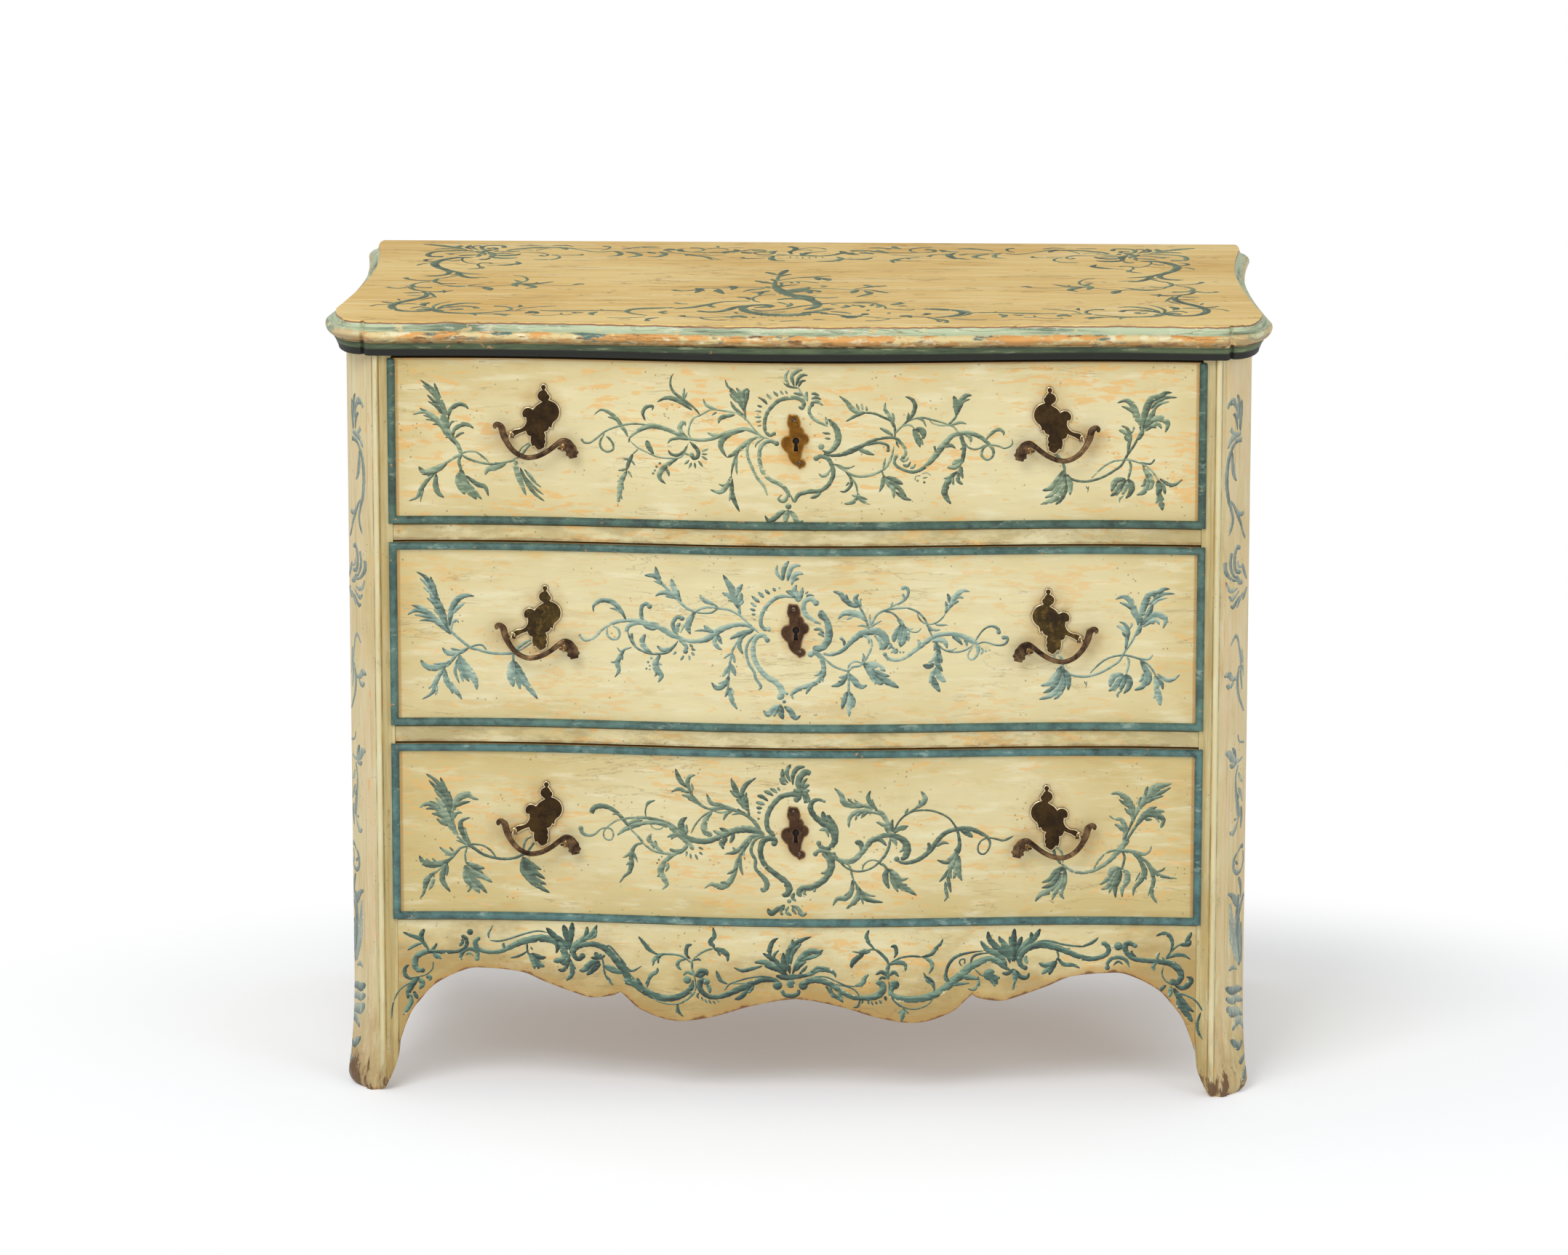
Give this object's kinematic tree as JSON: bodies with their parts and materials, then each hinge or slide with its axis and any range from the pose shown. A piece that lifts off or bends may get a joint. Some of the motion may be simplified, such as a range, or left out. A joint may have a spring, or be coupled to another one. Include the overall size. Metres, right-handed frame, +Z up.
{
  "type": "chest of drawers",
  "caption": "Commode with a serpentine front, splayed corner posts, scalloped apron, moulded top, lockable drawers and swinging bail handles.",
  "frame": {"origin": "middle of the chest's footprint on the floor", "axes": "+X to the right as seen from the front, +Y to the back, +Z up; the drawers open towards -Y"},
  "size_m": [1.13, 0.578, 0.95],
  "materials": {
    "cream_paint": "aged hand-painted cream ground with blue-green scroll ornament, satin",
    "ochre_paint": "aged ochre-cream paint, satin",
    "green_paint": "worn blue-green paint, satin",
    "bare_pine": "unpainted, aged, matte",
    "brass": "old brass, darkened, polished on its high lines",
    "iron": "aged iron, matte"
  },
  "bodies": {
    "carcass": {"top": "ochre_paint", "top_moulding": "green_paint", "apron": "cream_paint", "bottom_board": "bare_pine", "rail_upper": "cream_paint", "rail_lower": "cream_paint", "back_board_lower": "bare_pine", "back_board_upper": "bare_pine", "front_post_left": "cream_paint", "rear_post_left": "cream_paint", "side_panel_left": "cream_paint", "runner_upper_left": "bare_pine", "runner_lower_left": "bare_pine", "front_post_right": "cream_paint", "rear_post_right": "cream_paint", "side_panel_right": "cream_paint", "runner_upper_right": "bare_pine", "runner_lower_right": "bare_pine"},
    "drawer_top": {"drawer_top_front": "cream_paint", "drawer_top_back": "bare_pine", "drawer_top_floor": "bare_pine", "drawer_top_side_left": "bare_pine", "drawer_top_side_right": "bare_pine", "escutcheon_top": "brass", "lock_case_top": "iron", "handle_plate_top_left": "brass", "handle_post_top_left": "brass", "handle_plate_top_right": "brass", "handle_post_top_right": "brass"},
    "bolt_top": {"lock_bolt_top": "iron"},
    "bail_top_left": {"bail_top_left": "brass"},
    "bail_top_right": {"bail_top_right": "brass"},
    "drawer_middle": {"drawer_middle_front": "cream_paint", "drawer_middle_back": "bare_pine", "drawer_middle_floor": "bare_pine", "drawer_middle_side_left": "bare_pine", "drawer_middle_side_right": "bare_pine", "escutcheon_middle": "brass", "lock_case_middle": "iron", "handle_plate_middle_left": "brass", "handle_post_middle_left": "brass", "handle_plate_middle_right": "brass", "handle_post_middle_right": "brass"},
    "bolt_middle": {"lock_bolt_middle": "iron"},
    "bail_middle_left": {"bail_middle_left": "brass"},
    "bail_middle_right": {"bail_middle_right": "brass"},
    "drawer_bottom": {"drawer_bottom_front": "cream_paint", "drawer_bottom_back": "bare_pine", "drawer_bottom_floor": "bare_pine", "drawer_bottom_side_left": "bare_pine", "drawer_bottom_side_right": "bare_pine", "escutcheon_bottom": "brass", "lock_case_bottom": "iron", "handle_plate_bottom_left": "brass", "handle_post_bottom_left": "brass", "handle_plate_bottom_right": "brass", "handle_post_bottom_right": "brass"},
    "bolt_bottom": {"lock_bolt_bottom": "iron"},
    "bail_bottom_left": {"bail_bottom_left": "brass"},
    "bail_bottom_right": {"bail_bottom_right": "brass"}
  },
  "joints": [
    {"name": "drawer_top_slide", "type": "slide", "parent": "carcass", "child": "drawer_top", "axis": [0, -1, 0], "range_m": [0, 0.38]},
    {"name": "bolt_top_slide", "type": "slide", "parent": "drawer_top", "child": "bolt_top", "axis": [0, 0, 1], "range_m": [0, 0.01]},
    {"name": "bail_top_left_swing", "type": "hinge", "parent": "drawer_top", "child": "bail_top_left", "pos_m": [-0.30897, -0.26116, 0.80495], "axis": [-0.9724, 0.0572, 0.226], "range_deg": [-40, 40]},
    {"name": "bail_top_right_swing", "type": "hinge", "parent": "drawer_top", "child": "bail_top_right", "pos_m": [0.30897, -0.26116, 0.80495], "axis": [-0.9724, -0.0572, -0.226], "range_deg": [-40, 40]},
    {"name": "drawer_middle_slide", "type": "slide", "parent": "carcass", "child": "drawer_middle", "axis": [0, -1, 0], "range_m": [0, 0.38]},
    {"name": "bolt_middle_slide", "type": "slide", "parent": "drawer_middle", "child": "bolt_middle", "axis": [0, 0, 1], "range_m": [0, 0.01]},
    {"name": "bail_middle_left_swing", "type": "hinge", "parent": "drawer_middle", "child": "bail_middle_left", "pos_m": [-0.30897, -0.26116, 0.56045], "axis": [-0.9724, 0.0572, 0.226], "range_deg": [-40, 40]},
    {"name": "bail_middle_right_swing", "type": "hinge", "parent": "drawer_middle", "child": "bail_middle_right", "pos_m": [0.30897, -0.26116, 0.56045], "axis": [-0.9724, -0.0572, -0.226], "range_deg": [-40, 40]},
    {"name": "drawer_bottom_slide", "type": "slide", "parent": "carcass", "child": "drawer_bottom", "axis": [0, -1, 0], "range_m": [0, 0.38]},
    {"name": "bolt_bottom_slide", "type": "slide", "parent": "drawer_bottom", "child": "bolt_bottom", "axis": [0, 0, 1], "range_m": [0, 0.01]},
    {"name": "bail_bottom_left_swing", "type": "hinge", "parent": "drawer_bottom", "child": "bail_bottom_left", "pos_m": [-0.30897, -0.26116, 0.31895], "axis": [-0.9724, 0.0572, 0.226], "range_deg": [-40, 40]},
    {"name": "bail_bottom_right_swing", "type": "hinge", "parent": "drawer_bottom", "child": "bail_bottom_right", "pos_m": [0.30897, -0.26116, 0.31895], "axis": [-0.9724, -0.0572, -0.226], "range_deg": [-40, 40]}
  ]
}
